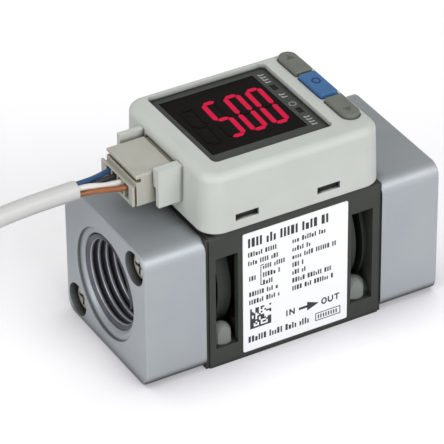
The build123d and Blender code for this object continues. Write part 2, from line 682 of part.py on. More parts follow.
def segment(name, digit_x):
    # One bar of a seven-bar digit, pointed at both ends and leaned over with the digit
    half_x, half_y = (DIGIT_WIDTH - DIGIT_STROKE) / 2, (DIGIT_HEIGHT - DIGIT_STROKE) / 2
    stroke = DIGIT_STROKE / 2
    level = {"top": half_y, "middle": 0.0, "bottom": -half_y}
    if name in level:
        y, end = level[name], half_x - DIGIT_GAP
        corners = [(-end, y), (-end + stroke, y + stroke), (end - stroke, y + stroke),
                   (end, y), (end - stroke, y - stroke), (-end + stroke, y - stroke)]
    else:
        x = half_x if "right" in name else -half_x
        y0, y1 = DIGIT_GAP, half_y - DIGIT_GAP
        if "lower" in name:
            y0, y1 = -y1, -y0
        corners = [(x, y0), (x + stroke, y0 + stroke), (x + stroke, y1 - stroke),
                   (x, y1), (x - stroke, y1 - stroke), (x - stroke, y0 + stroke)]
    lean = math.tan(math.radians(DIGIT_SLANT))
    placed = [(digit_x + x + lean * y, digit_y + y) for x, y in corners]
    return extrude(Pos(0, 0, led_face) * make_face(Polyline(*placed, close=True)), SEGMENT_THICKNESS)


SEGMENTS = ("top", "middle", "bottom", "upper_left", "upper_right", "lower_left", "lower_right")
SHOWN = (
    (),
    ("top", "upper_left", "middle", "lower_right", "bottom"),
    ("top", "upper_left", "upper_right", "lower_left", "lower_right", "bottom"),
    ("top", "upper_left", "upper_right", "lower_left", "lower_right", "bottom"),
)


def segments(lit):
    bars = []
    for place, shown in enumerate(SHOWN):
        x = digit_last_x - DIGIT_PITCH * (len(SHOWN) - 1 - place)
        bars += [segment(name, x) for name in SEGMENTS if (name in shown) == lit]
    return bars


def output_lamps():
    lamps = []
    for y in lamp_rows:
        height = led_face - board_top
        lamps.append(Pos(lamp_x, y, board_top + height / 2) * Box(LAMP_LENGTH, LAMP_WIDTH, height))
    return lamps


def main_board():
    length, width = inner_length - 2 * BOARD_CLEARANCE, inner_width - 2 * BOARD_CLEARANCE
    board = rounded_slab(length, width, HOUSING_INNER_CORNER, board_z, board_top)
    pins = connector_pins()
    for pin in pins:
        board -= pin
    return board


def connector_pins():
    # Bent pins: out through the header into the plug, and down through the board
    half = PIN_SIZE / 2
    turn = header_face + HEADER_DEPTH - 1
    pins = []
    for y in pin_rows:
        level = span(header_face - PIN_REACH, turn + half, y - half, y + half,
                     pin_z - half, pin_z + half)
        drop = span(turn - half, turn + half, y - half, y + half, board_z - 0.8, pin_z + half)
        pins.append(level + drop)
    return pins


def header_base():
    y0, y1 = PIN_CENTRE_Y - HEADER_WIDTH / 2, PIN_CENTRE_Y + HEADER_WIDTH / 2
    base = span(header_face, header_face + HEADER_DEPTH, y0, y1, board_top, board_top + HEADER_HEIGHT)
    for pin in connector_pins():
        base -= pin
    return base


def plug_housing():
    # A top plate over a groove, a plain body, and a wider flange at the back with the cavities
    y0, y1 = PIN_CENTRE_Y - PLUG_WIDTH / 2, PIN_CENTRE_Y + PLUG_WIDTH / 2
    plug = span(plug_back, plug_front, y0, y1, plug_bottom, plug_top)
    plug = chamfer(plug.faces().sort_by(Axis.Z)[-1].edges().filter_by(Axis.X), 0.2)
    groove_top = plug_top - PLUG_TOP_PLATE
    plug -= span(plug_back - 1, plug_back + PLUG_GROOVE_DEPTH, y0 - 1, y1 + 1,
                 groove_top - PLUG_GROOVE, groove_top)
    flange_z = plug_bottom + 0.15
    back = plug_back - PLUG_FLANGE_LENGTH
    neck = span(back, plug_back + PLUG_GROOVE_DEPTH, y0 + PLUG_SIDE_GROOVE, y1 - PLUG_SIDE_GROOVE,
                flange_z, flange_z + PLUG_FLANGE_HEIGHT)
    rear = span(back, back + PLUG_FLANGE_LENGTH - PLUG_SIDE_GROOVE, y0, y1 + PLUG_FLANGE_PROUD,
                flange_z, flange_z + PLUG_FLANGE_HEIGHT)
    plug += neck + rear
    for y in pin_rows:
        plug -= span(back - 1, plug_front - CAVITY_END_WALL, y - CAVITY_WIDTH / 2, y + CAVITY_WIDTH / 2,
                     pin_z - CAVITY_BELOW_PINS, pin_z + CAVITY_ABOVE_PINS)
        plug -= rod_x(PIN_SIZE, plug_front - CAVITY_END_WALL - 1, plug_front + 1, y, pin_z)
    return plug


def plug_contacts():
    contacts = []
    hole = PIN_SIZE / 2 + CONTACT_PIN_CLEARANCE
    half = CONTACT_SIZE / 2
    for y in pin_rows:
        box = span(contact_back, contact_back + CONTACT_LENGTH, y - half, y + half,
                   pin_z - half, pin_z + half)
        box -= span(contact_back + 1, plug_front, y - hole, y + hole, pin_z - hole, pin_z + hole)
        contacts.append(box)
    return contacts


def tube(points, radius, radii):
    path = FilletPolyline(*points, radius=radii)
    section = Plane(origin=path @ 0, z_dir=path % 0) * Circle(radius)
    return sweep(section, path=path), path.length


def corner_radii(points):
    # As large as the two runs at each corner allow
    radii = []
    for a, b, c in zip(points, points[1:], points[2:]):
        before, after = Vector(*b) - Vector(*a), Vector(*c) - Vector(*b)
        half_turn = math.radians(before.get_angle(after)) / 2
        radii.append(0.45 * min(before.length, after.length) / math.tan(half_turn))
    return radii


def cores():
    # Near the plug each core runs from its contact to the jacket; the bare far ends lie
    # in the last stretch of the coil's inner turn
    start = Vector(*CABLE_ROUTE[0])
    places = {"brown": (-1, -1), "white": (-1, 1), "black": (1, -1), "blue": (1, 1)}
    far = {"brown": (-1.2, 0), "white": (0, 0), "black": (1.2, 0), "blue": (0, 1.25)}
    made = {}
    for y, (colour, (side, up)) in zip(pin_rows, places.items()):
        end_y, end_z = start.Y + side * CORE_SPREAD, start.Z + up * CORE_SPREAD
        back = plug_back - PLUG_FLANGE_LENGTH
        points = [(contact_back, y, pin_z), (back - 2.0, y, pin_z), (start.X + 2.6, end_y, end_z),
                  (start.X, end_y, end_z)]
        near, _ = tube(points, CORE_RADIUS, corner_radii(points))
        out, lift = far[colour]
        z = coil_height - 2 * CABLE_RADIUS + CORE_RADIUS + 0.05 + lift
        ring = Pos(COIL_INNER_TURN + out, 0, z) * Rot(90, 0, 0) * Circle(CORE_RADIUS)
        bare = revolve(ring, Axis.Z, revolution_arc=FAR_CORE_ANGLE)
        made[colour] = [near, Pos(*coil_centre, 0) * bare]
    return made


def cable_sheath():
    radii = corner_radii(CABLE_ROUTE)
    sheath, length = tube(CABLE_ROUTE, CABLE_RADIUS, radii)
    print("cable corner radii", [round(r, 1) for r in radii])
    print("cable length", round(length, 1), "volume ratio",
          round(sheath.volume / (length * math.pi * CABLE_RADIUS**2), 4))
    return sheath


def cable_coil():
    # The outer shape of the turns, with the straight stretch that leads into the outer turn
    outer, inner = COIL_OUTER_TURN + CABLE_RADIUS, COIL_INNER_TURN - CABLE_RADIUS
    coil = rod_z(outer, 0, coil_height) - rod_z(inner, -1, coil_height + 1)
    notch_z = coil_height - 2 * CABLE_RADIUS
    notch = rod_z(inner + 2 * CABLE_RADIUS, notch_z, coil_height + 1)
    wedge = Rot(90, 0, 0) * Rectangle(4 * outer, 4 * outer, align=(Align.MIN, Align.CENTER))
    coil -= notch & revolve(wedge, Axis.Z, revolution_arc=FAR_CORE_ANGLE)
    coil = Pos(*coil_centre, 0) * coil
    x, y, z = CABLE_ROUTE[-1]
    lead = Pos(x, y + COIL_LEAD_IN / 2, z) * Rot(90, 0, 0) * Cylinder(CABLE_RADIUS, COIL_LEAD_IN)
    return coil + lead


def label_plate():
    face = Pos(LABEL_X, -half_width - LABEL_THICKNESS / 2, LABEL_SILL + LABEL_HEIGHT / 2)
    plate = face * Box(LABEL_LENGTH, LABEL_THICKNESS, LABEL_HEIGHT)
    return fillet(plate.edges().filter_by(Axis.Y), 0.4)


def save(name, shape):
    if isinstance(shape, list):
        shape = Compound(children=[s if isinstance(s, Solid) else s.solids()[0] for s in shape])
    export_step(shape, f"parts/{name}.step")


def main():
    os.makedirs("parts", exist_ok=True)
    inlet = port_block()
    save("inlet_block", inlet)
    save("outlet_block", turned(inlet))
    save("inlet_screws", block_screws())
    save("outlet_screws", [turned(s) for s in block_screws()])
    save("port_seals", [face_seal(), turned(face_seal())])
    save("inlet_screen", screen())
    save("outlet_screen", turned(screen()))
    save("flow_body", flow_body())
    save("main_passage_throttle", throttle())
    save("sensor_gasket", sensor_gasket())
    save("sensor_board", sensor_plate(sensor_board_z, sensor_top_z))
    chip = span(-CHIP_LENGTH / 2, CHIP_LENGTH / 2, -CHIP_WIDTH / 2, CHIP_WIDTH / 2,
                sensor_board_z - CHIP_THICKNESS, sensor_board_z)
    save("sensor_chip", chip)
    save("board_screws", board_screws())
    save("board_link", board_link())
    save("label_plate", label_plate())
    save("housing_gasket", housing_gasket())
    save("display_housing", display_housing())
    save("display_panel", display_panel())
    save("led_display", led_display())
    save("lit_segments", segments(True))
    save("unlit_segments", segments(False))
    save("output_lamps", output_lamps())
    save("main_board", main_board())
    save("key_switches", key_switches())
    for name in button_spans:
        save(f"button_{name}", button(name))
        save(f"plunger_{name}", switch_plunger(name))
    save("connector_pins", connector_pins())
    save("header_base", header_base())
    save("plug_housing", plug_housing())
    save("plug_contacts", plug_contacts())
    for colour, pieces in cores().items():
        save(f"core_{colour}", pieces)
    save("cable_sheath", cable_sheath())
    save("cable_coil", cable_coil())


main()
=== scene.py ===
import bpy
import math
import random
from mathutils import Matrix, Vector


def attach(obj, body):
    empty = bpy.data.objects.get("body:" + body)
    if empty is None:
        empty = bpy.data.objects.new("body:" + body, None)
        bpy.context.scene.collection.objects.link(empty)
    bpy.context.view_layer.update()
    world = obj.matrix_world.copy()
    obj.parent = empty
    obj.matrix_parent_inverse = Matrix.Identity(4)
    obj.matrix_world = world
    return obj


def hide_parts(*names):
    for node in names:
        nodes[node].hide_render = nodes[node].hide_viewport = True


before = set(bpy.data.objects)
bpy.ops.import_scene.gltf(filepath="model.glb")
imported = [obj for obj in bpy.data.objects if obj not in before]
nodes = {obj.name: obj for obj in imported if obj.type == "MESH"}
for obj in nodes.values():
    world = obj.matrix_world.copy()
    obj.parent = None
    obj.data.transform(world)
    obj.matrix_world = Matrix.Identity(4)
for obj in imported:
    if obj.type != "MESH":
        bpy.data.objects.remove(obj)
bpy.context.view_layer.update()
mm = 0.001


# the camera stands in front of the inlet corner and looks down on the label and the display
cameraView = {
    "place": (-298.68, -517.49, 420.72),
    "forward": (0.40739, 0.72343, -0.55739),
    "right": (0.86833, -0.49590, -0.00897),
    "lens": 278.67,
    "sensor": 36.0,
}


def makeCamera():
    camera = bpy.data.objects.new("photoCamera", bpy.data.cameras.new("photoCamera"))
    bpy.context.scene.collection.objects.link(camera)
    camera.data.lens = cameraView["lens"]
    camera.data.sensor_width = cameraView["sensor"]
    camera.data.clip_start, camera.data.clip_end = 0.01, 20
    forward = Vector(cameraView["forward"]).normalized()
    right = Vector(cameraView["right"])
    right = (right - forward * right.dot(forward)).normalized()
    up = right.cross(forward)
    turn = Matrix((right, up, -forward)).transposed().to_4x4()
    camera.matrix_world = Matrix.Translation(Vector(cameraView["place"]) * mm) @ turn
    bpy.context.scene.camera = camera


makeCamera()
print("camera set")


def linear(red, green, blue):
    # a colour as it reads on screen, 0 to 255, in the shader's own numbers
    parts = [part / 255 for part in (red, green, blue)]
    levels = [p / 12.92 if p <= 0.04045 else ((p + 0.055) / 1.055) ** 2.4 for p in parts]
    return (*levels, 1.0)


def noiseAt(tree, coords, size, detail):
    # size is that of one patch or grain, in millimetres
    noise = tree.nodes.new("ShaderNodeTexNoise")
    noise.inputs["Scale"].default_value = 1 / (size * mm)
    noise.inputs["Detail"].default_value = detail
    tree.links.new(coords, noise.inputs["Vector"])
    return noise.outputs["Fac"]


def spread(tree, value, low, high, toLow, toHigh):
    ranger = tree.nodes.new("ShaderNodeMapRange")
    for name, number in (("From Min", low), ("From Max", high), ("To Min", toLow), ("To Max",
                                                                                    toHigh)):
        ranger.inputs[name].default_value = number
    tree.links.new(value, ranger.inputs["Value"])
    return ranger.outputs["Result"]


def blended(tree, factor, first, second):
    # first and second are colours, or sockets that carry one
    mix = tree.nodes.new("ShaderNodeMix")
    mix.data_type = "RGBA"
    tree.links.new(factor, mix.inputs["Factor"])
    for socket, source in ((mix.inputs[6], first), (mix.inputs[7], second)):
        if isinstance(source, tuple):
            socket.default_value = source
        else:
            tree.links.new(source, socket)
    return mix.outputs[2]


def openness(tree, reach, low, high):
    # nought in crevices and one in the open, judged over reach millimetres; the painted shade on
    # parts and the painted shadow on the floor follow it
    shade = tree.nodes.new("ShaderNodeAmbientOcclusion")
    shade.samples = 8
    shade.inputs["Distance"].default_value = reach * mm
    return spread(tree, shade.outputs["AO"], low, high, 0, 1)


def overPins(tree, coords, pins):
    # one over upright pins that stand alike in the four quarters of the plan
    place = coords
    middle = (pins["x"] * mm, pins["y"] * mm, 0)
    for operation, other in (("ABSOLUTE", None), ("SUBTRACT", middle), ("MULTIPLY", (1, 1, 0))):
        step = tree.nodes.new("ShaderNodeVectorMath")
        step.operation = operation
        tree.links.new(place, step.inputs[0])
        if other:
            step.inputs[1].default_value = other
        place = step.outputs["Vector"]
    reach = tree.nodes.new("ShaderNodeVectorMath")
    reach.operation = "LENGTH"
    tree.links.new(place, reach.inputs[0])
    split = tree.nodes.new("ShaderNodeSeparateXYZ")
    tree.links.new(coords, split.inputs[0])
    both = tree.nodes.new("ShaderNodeMath")
    both.operation = "MULTIPLY"
    tests = ((reach.outputs["Value"], pins["radius"]), (split.outputs["Z"], pins["height"]))
    for socket, (value, limit) in zip(both.inputs, tests):
        tree.links.new(spread(tree, value, limit * mm, (limit + pins["blur"]) * mm, 1, 0), socket)
    return both.outputs[0]


def finish(name, look):
    # colour drifts towards shade in patches and grain roughens it; rounded edges are painted paler
    # as a painted highlight, and crevices are painted darker as painted shade
    material = bpy.data.materials.new(name)
    material.use_nodes = True
    tree = material.node_tree
    shader = tree.nodes["Principled BSDF"]
    shader.inputs["Metallic"].default_value = look.get("metallic", 0.0)
    shader.inputs["Specular IOR Level"].default_value = look.get("specular", 0.5)
    coords = tree.nodes.new("ShaderNodeTexCoord").outputs["Object"]
    patches = spread(tree, noiseAt(tree, coords, look.get("patch", 9.0), 4), 0.35, 0.65, 0, 1)
    colour = blended(tree, patches, linear(*look["colour"]), linear(*look["shade"]))
    grain = noiseAt(tree, coords, look.get("grain", 0.25), 3)
    rough = look["roughness"]
    roughSpread = look.get("roughSpread", 0.06)
    tree.links.new(spread(tree, grain, 0.3, 0.7, rough - roughSpread, rough + roughSpread),
                   shader.inputs["Roughness"])
    if "speck" in look:
        specks = spread(tree, grain, 0.55, 0.75, 0, 0.5)
        colour = blended(tree, specks, colour, linear(*look["speck"]))
    bump = tree.nodes.new("ShaderNodeBump")
    bump.inputs["Strength"].default_value = 1.0
    bump.inputs["Distance"].default_value = look.get("depth", 0.01) * mm
    tree.links.new(grain, bump.inputs["Height"])
    if look.get("edge"):
        rounded = tree.nodes.new("ShaderNodeBevel")
        rounded.samples = 6
        rounded.inputs["Radius"].default_value = look["edge"] * mm
        tree.links.new(rounded.outputs["Normal"], bump.inputs["Normal"])
        # painted highlight: where the rounded normal turns away from the flat one, the colour is
        # painted paler
        if "edgeHighlight" in look:
            flat = tree.nodes.new("ShaderNodeNewGeometry")
            dot = tree.nodes.new("ShaderNodeVectorMath")
            dot.operation = "DOT_PRODUCT"
            tree.links.new(rounded.outputs["Normal"], dot.inputs[0])
            tree.links.new(flat.outputs["Normal"], dot.inputs[1])
            edges = spread(tree, dot.outputs["Value"], 0.98, 0.8, 0, look.get("edgeHighlightShare", 0.6))
            colour = blended(tree, edges, colour, linear(*look["edgeHighlight"]))
    # painted shade: hollows found by ambient occlusion are painted darker
    if "creviceShade" in look:
        opening = openness(tree, look["reach"], *look.get("opening", (0.3, 0.8)))
        colour = blended(tree, opening, linear(*look["creviceShade"]), colour)
    if "pins" in look:
        colour = blended(tree, overPins(tree, coords, look["pins"]), colour,
                         linear(*look["pins"]["colour"]))
    tree.links.new(bump.outputs["Normal"], shader.inputs["Normal"])
    tree.links.new(colour, shader.inputs["Base Color"])
    if "glow" in look:
        shader.inputs["Emission Color"].default_value = linear(*look["glow"])
        shader.inputs["Emission Strength"].default_value = look["glowStrength"]
    return material


def dress(material, *names):
    for name in names:
        mesh = nodes[name].data
        if not mesh.materials:
            mesh.materials.append(material)
        for place in range(len(mesh.materials)):
            mesh.materials[place] = material


def addPiece(name, data, material, body="switch"):
    piece = bpy.data.objects.new(name, data)
    bpy.context.scene.collection.objects.link(piece)
    data.materials.append(material)
    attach(piece, body)
    return piece


markSink = 0.02  # how far a printed mark reaches into its face


def prisms(name, outlines, place, height, material, body="switch"):
    # thin raised marks: each outline is a ring of (u, v) in millimetres, and place(u, v, h)
    # gives the point at that height over the printed face
    points, faces = [], []
    for outline in outlines:
        first, count = len(points), len(outline)
        for level in (-markSink, height):
            points += [Vector(place(u, v, level)) * mm for u, v in outline]
        faces.append([first + i for i in reversed(range(count))])
        faces.append([first + count + i for i in range(count)])
        for i in range(count):
            j = (i + 1) % count
            faces.append([first + i, first + j, first + count + j, first + count + i])
    mesh = bpy.data.meshes.new(name)
    mesh.from_pydata(points, [], faces)
    mesh.validate()
    return addPiece(name, mesh, material, body)


def bar(u0, u1, v0, v1):
    return [(u0, v0), (u1, v0), (u1, v1), (u0, v1)]


def strokes(points, width):
    # a drawn line: one short bar for each pair of points, which laps over the next one
    made = []
    lap = 0.6
    for start, end in zip(points, points[1:]):
        start, end = Vector(start), Vector(end)
        along = (end - start).normalized() * width / 2
        side = Vector((-along.y, along.x))
        start, end = start - along * lap, end + along * lap
        made.append([tuple(corner) for corner in (start - side, end - side, end + side,
                                                  start + side)])
    return made


# the lead: a round jacket over four cores, wound up beyond the inlet end
leadCable = {
    "route": [(-40.5, 0.8, 40.6), (-54.5, 0.8, 40.6), (-67.5, 1.2, 37.6), (-78.0, 5.0, 32.0),
              (-87.0, 12.5, 25.0), (-95.0, 21.0, 16.5), (-101.0, 30.0, 8.6), (-104.5, 39.0, 3.6),
              (-105.0, 47.5, 2.05), (-105.0, 53.0, 2.05)],
    "radius": 2.0,
    "coilCentre": (-75.0, 69.5),
    "columns": (30.0, 26.0, 22.0, 18.0),
    "rows": (2.0, 6.0, 10.0),
    "pointsPerTurn": 16,
    "turned": 4030.0,
    "steps": [(300, "in"), (660, "in"), (1020, "in"), (1320, "up"), (1620, "out"), (1980, "out"),
              (2340, "out"), (2640, "up"), (2940, "in"), (3300, "in"), (3660, "in")],
    "stepDegrees": 60,
    "length": 1.8,
    "jacket": {"colour": (200, 200, 199), "shade": (194, 194, 192), "patch": 30.0, "grain": 0.3,
               "depth": 0.012, "roughness": 0.42},
}
leadCores = {"radius": 0.6, "back": -28.3, "pinHeight": 40.05, "spread": 0.75,
             "rows": {"brown": -2.92, "white": -0.42, "black": 2.08, "blue": 4.58},
             "sides": {"brown": (-1, -1), "white": (-1, 1), "black": (1, -1), "blue": (1, 1)},
             "far": {"brown": (16.8, 8.65), "white": (18.0, 8.65), "black": (19.2, 8.65),
                     "blue": (18.0, 9.9)}, "farAngle": 110.0, "farStep": 10, "tip": 9.0,
             "tipAngles": (10.0, 4.5, 0.5), "tipRadius": 0.372, "near": {"straight": -31.2,
                                                                         "bend": -34.4,
                                                                         "bendShare": 0.38,
                                                                         "bendRise": 0.15,
                                                                         "gather": -38.4,
                                                                         "inside": 1.5},
             "colours": {"brown": ((150, 92, 48), (134, 80, 42)),
                         "white": ((224, 222, 216), (212, 210, 203)),
                         "black": ((36, 38, 42), (28, 30, 33)),
                         "blue": ((52, 84, 128), (42, 72, 114))},
             "tinned": {"colour": (196, 190, 178), "shade": (176, 168, 154), "metallic": 0.9,
                        "patch": 1.5, "grain": 0.15, "depth": 0.03, "roughness": 0.34},}


# a wound line runs inside its points, so the points stand out by this much
leadSwell = 1 / math.cos(math.radians(180 / leadCable["pointsPerTurn"]))


def coilPlace(turned):
    # radius and height of the jacket's middle after so many degrees of winding: inwards along
    # the bottom row, outwards along the second and inwards again along the top one
    outer, inner = leadCable["columns"][0], leadCable["columns"][-1]
    low, middle, high = leadCable["rows"]
    radius, height = outer, low
    pitch = middle - low
    for start, move in leadCable["steps"]:
        share = min(max((turned - start) / leadCable["stepDegrees"], 0), 1)
        share = share * share * (3 - 2 * share)
        if move == "up":
            height += pitch * share
        else:
            radius += pitch * share * (1 if move == "out" else -1)
    return min(max(radius, inner), outer), min(height, high)


def splineObject(name, runs, radius, material, body="switch", sides=6):
    curve = bpy.data.curves.new(name, "CURVE")
    curve.dimensions = "3D"
    curve.resolution_u = 8
    curve.bevel_depth = 1.0  # each point carries the radius
    curve.bevel_resolution = sides
    curve.use_fill_caps = True
    for points in runs:
        spline = curve.splines.new("NURBS")
        spline.points.add(len(points) - 1)
        for point, place in zip(spline.points, points):
            point.co = (place[0] * mm, place[1] * mm, place[2] * mm, 1)
            point.radius = radius * mm
        spline.order_u = 3
        spline.use_endpoint_u = True
        spline.use_smooth = True
    return addPiece(name, curve, material, body)


def coilPoint(turned):
    # a point of the wound jacket, a little outside the line because the line runs inside its points
    cx, cy = leadCable["coilCentre"]
    radius, height = coilPlace(turned)
    swell = 1 if turned == leadCable["turned"] else leadSwell
    angle = math.radians(180 - turned)
    return cx + radius * swell * math.cos(angle), cy + radius * swell * math.sin(angle), height


def farPoint(colour, degrees, swell=1.0):
    # a point of a core where it comes out of the jacket's far end, inside the coil
    cx, cy = leadCable["coilCentre"]
    radius, height = leadCores["far"][colour]
    angle = math.radians(degrees)
    return cx + radius * swell * math.cos(angle), cy + radius * swell * math.sin(angle), height


def nearCore(colour):
    # from its contact in the plug to just inside the jacket
    bend = leadCores["near"]
    startX, startY, startZ = leadCable["route"][0]
    rowY, pinZ = leadCores["rows"][colour], leadCores["pinHeight"]
    side, up = leadCores["sides"][colour]
    endY, endZ = startY + side * leadCores["spread"], startZ + up * leadCores["spread"]
    bendY = rowY * (1 - bend["bendShare"]) + endY * bend["bendShare"]
    return [(leadCores["back"], rowY, pinZ), (bend["straight"], rowY, pinZ),
            (bend["bend"], bendY, pinZ + bend["bendRise"]), (bend["gather"], endY, endZ),
            (startX - bend["inside"], endY, endZ)]


def farCore(colour):
    points = [farPoint(colour, leadCores["farAngle"])]
    degrees = leadCores["farAngle"] - leadCores["farStep"]
    while degrees > leadCores["tip"]:
        points.append(farPoint(colour, degrees, leadSwell))
        degrees -= leadCores["farStep"]
    return points + [farPoint(colour, leadCores["tip"])]


def makeLead():
    step = 360 / leadCable["pointsPerTurn"]
    points = list(leadCable["route"])
    turned = step / 2
    while turned < leadCable["turned"] - step / 3:
        points.append(coilPoint(turned))
        turned += step
    points.append(coilPoint(leadCable["turned"]))
    jacket = splineObject("leadJacket", [points], leadCable["radius"],
                          finish("cableJacket", leadCable["jacket"]), sides=8)
    jacket.data.resolution_u = 5
    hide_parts("cable_sheath", "cable_coil")
    tips = []
    for colour in leadCores["rows"]:
        base, shade = leadCores["colours"][colour]
        look = {"colour": base, "shade": shade, "patch": 6.0, "grain": 0.2, "depth": 0.008,
                "roughness": 0.38}
        name = "core" + colour.capitalize()
        core = splineObject(name, [nearCore(colour), farCore(colour)], leadCores["radius"],
                            finish(name, look), sides=5)
        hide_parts("core_" + colour)
        tips.append([farPoint(colour, degrees) for degrees in leadCores["tipAngles"]])
    strands = splineObject("tinnedTips", tips, leadCores["tipRadius"],
                           finish("tinnedStrands", leadCores["tinned"]), sides=4)


makeLead()
print("lead wound")


# end blocks, their screws and the seals and screens behind them
# in blockMetal and screwZinc the paler edge colour is a painted highlight and the dark hollow
# colour is painted shade
blockMetal = {"colour": (173, 178, 182), "shade": (167, 173, 177), "patch": 14.0, "grain": 0.16,
              "depth": 0.02, "roughness": 0.52, "roughSpread": 0.08, "metallic": 0.65, "edge": 0.25,
              "edgeHighlight": (176, 180, 185), "edgeHighlightShare": 0.5, "creviceShade": (58, 58, 48), "reach": 5.0,
              "opening": (0.42, 0.8)}
# painted shade and painted highlight: the thread is one metal, with its flanks painted darker and
# its crests painted paler
threadFlankShade = {"colour": (98, 99, 106), "shade": (86, 87, 94), "patch": 3.0, "grain": 0.1,
               "depth": 0.01, "roughness": 0.42, "metallic": 0.6}
threadCrestHighlight = {"colour": (190, 193, 199), "shade": (180, 184, 190), "patch": 3.0, "grain": 0.1,
               "depth": 0.008, "roughness": 0.36, "metallic": 0.6}
screwZinc = {"colour": (214, 213, 203), "shade": (186, 183, 166), "patch": 1.2, "grain": 0.2,
             "depth": 0.008, "roughness": 0.3, "metallic": 0.6, "edge": 0.12,
             "edgeHighlight": (236, 236, 230), "creviceShade": (58, 56, 44), "reach": 1.2}
screenSteel = {"colour": (150, 151, 152), "shade": (136, 137, 139), "patch": 2.0, "grain": 0.12,
               "depth": 0.01, "roughness": 0.36, "metallic": 0.9}
sealRubber = {"colour": (34, 34, 35), "shade": (28, 28, 29), "patch": 4.0, "grain": 0.1,
              "depth": 0.01, "roughness": 0.62}
dress(finish("castAlloy", blockMetal), "inlet_block", "outlet_block")
dress(finish("zincSteel", screwZinc), "inlet_screws", "outlet_screws", "board_screws")
dress(finish("screenSteel", screenSteel), "inlet_screen", "outlet_screen")
dress(finish("sealRubber", sealRubber), "port_seals", "sensor_gasket", "housing_gasket")

# pipe thread of each port: a ridge wound round the bore
pipeThread = {"pitch": 1.814, "from": 34.0, "to": 23.5, "axisHeight": 16.0, "stepsPerTurn": 72,
              "runOut": 80.0, "blunt": 6.0, "crest": (3, 4, 5), "ridge": [(-0.90, 10.50),
                                                                          (-0.78, 10.40),
                                                                          (-0.62, 10.14),
                                                                          (-0.32, 9.50),
                                                                          (-0.21, 9.38),
                                                                          (0.21, 9.38),
                                                                          (0.32, 9.50),
                                                                          (0.62, 10.14),
                                                                          (0.78, 10.40),
                                                                          (0.90, 10.50)]}


shadedFlankMetal = finish("threadFlankShade", threadFlankShade)
litCrestMetal = finish("threadCrestHighlight", threadCrestHighlight)


def makeThread(name, side):
    depth = pipeThread["from"] - pipeThread["to"]
    degrees = 360 * depth / pipeThread["pitch"]
    rings = int(degrees / 360 * pipeThread["stepsPerTurn"])
    ridge = pipeThread["ridge"]
    base = ridge[0][1]
    points, faces = [], []
    for ring in range(rings + 1):
        turned = degrees * ring / rings
        left = min(turned, degrees - turned) + pipeThread["blunt"]
        full = min(1, left / pipeThread["runOut"])
        angle = math.radians(turned)
        along = pipeThread["from"] - pipeThread["pitch"] * turned / 360
        for shift, radius in ridge:
            r = base + (radius - base) * full
            y, z = side * r * math.cos(angle), pipeThread["axisHeight"] + r * math.sin(angle)
            points.append(Vector((side * (along + shift), y, z)) * mm)
    count = len(ridge)
    for ring in range(rings):
        for i in range(count):
            a, b = ring * count + i, ring * count + (i + 1) % count
            faces.append([a, b, b + count, a + count] if side > 0 else [a, a + count, b + count, b])
    faces.append(list(range(count)) if side < 0 else list(reversed(range(count))))
    last = rings * count
    faces.append([last + i for i in (reversed(range(count)) if side < 0 else range(count))])
    mesh = bpy.data.meshes.new(name)
    mesh.from_pydata(points, [], faces)
    mesh.validate()
    addPiece(name, mesh, shadedFlankMetal)
    mesh.materials.append(litCrestMetal)
    # crest faces take the painted highlight and the other faces the painted shade
    for face in mesh.polygons:
        face.use_smooth = True
        wound = face.index < rings * count
        face.material_index = 1 if wound and face.index % count in pipeThread["crest"] else 0


makeThread("inletThread", -1)
makeThread("outletThread", 1)
print("end blocks done")


# body moulding and what it holds
# the paler edge colour here is a painted highlight and the dark hollow colour is painted shade
bodyResin = {"colour": (58, 62, 56), "shade": (53, 57, 51), "patch": 12.0, "grain": 0.14,
             "depth": 0.02, "roughness": 0.5, "roughSpread": 0.07, "specular": 0.25, "edge": 0.2,
             "edgeHighlight": (86, 88, 82), "edgeHighlightShare": 0.45, "creviceShade": (24, 26, 22), "reach": 2.0,
             "pins": {"x": 16.0, "y": 14.5, "radius": 2.15, "height": 8.6, "blur": 0.1,
                      "colour": (134, 139, 134)}}
throttleResin = {"colour": (58, 60, 58), "shade": (52, 54, 52), "patch": 5.0, "grain": 0.15,
                 "depth": 0.01, "roughness": 0.45}
boardLaminate = {"colour": (38, 92, 62), "shade": (33, 84, 55), "patch": 3.0, "grain": 0.25,
                 "depth": 0.015, "roughness": 0.4, "speck": (52, 108, 74)}
chipEpoxy = {"colour": (32, 32, 34), "shade": (27, 27, 29), "patch": 1.5, "grain": 0.08,
             "depth": 0.008, "roughness": 0.55}
pinTin = {"colour": (200, 198, 190), "shade": (186, 184, 176), "patch": 0.8, "grain": 0.1,
          "depth": 0.004, "roughness": 0.28, "metallic": 0.95}
dress(finish("bodyResin", bodyResin), "flow_body")
dress(finish("throttleResin", throttleResin), "main_passage_throttle")
dress(finish("boardLaminate", boardLaminate), "sensor_board", "main_board")
dress(finish("chipEpoxy", chipEpoxy), "sensor_chip", "board_link")
dress(finish("pinTin", pinTin), "connector_pins", "plug_contacts")
print("body done")


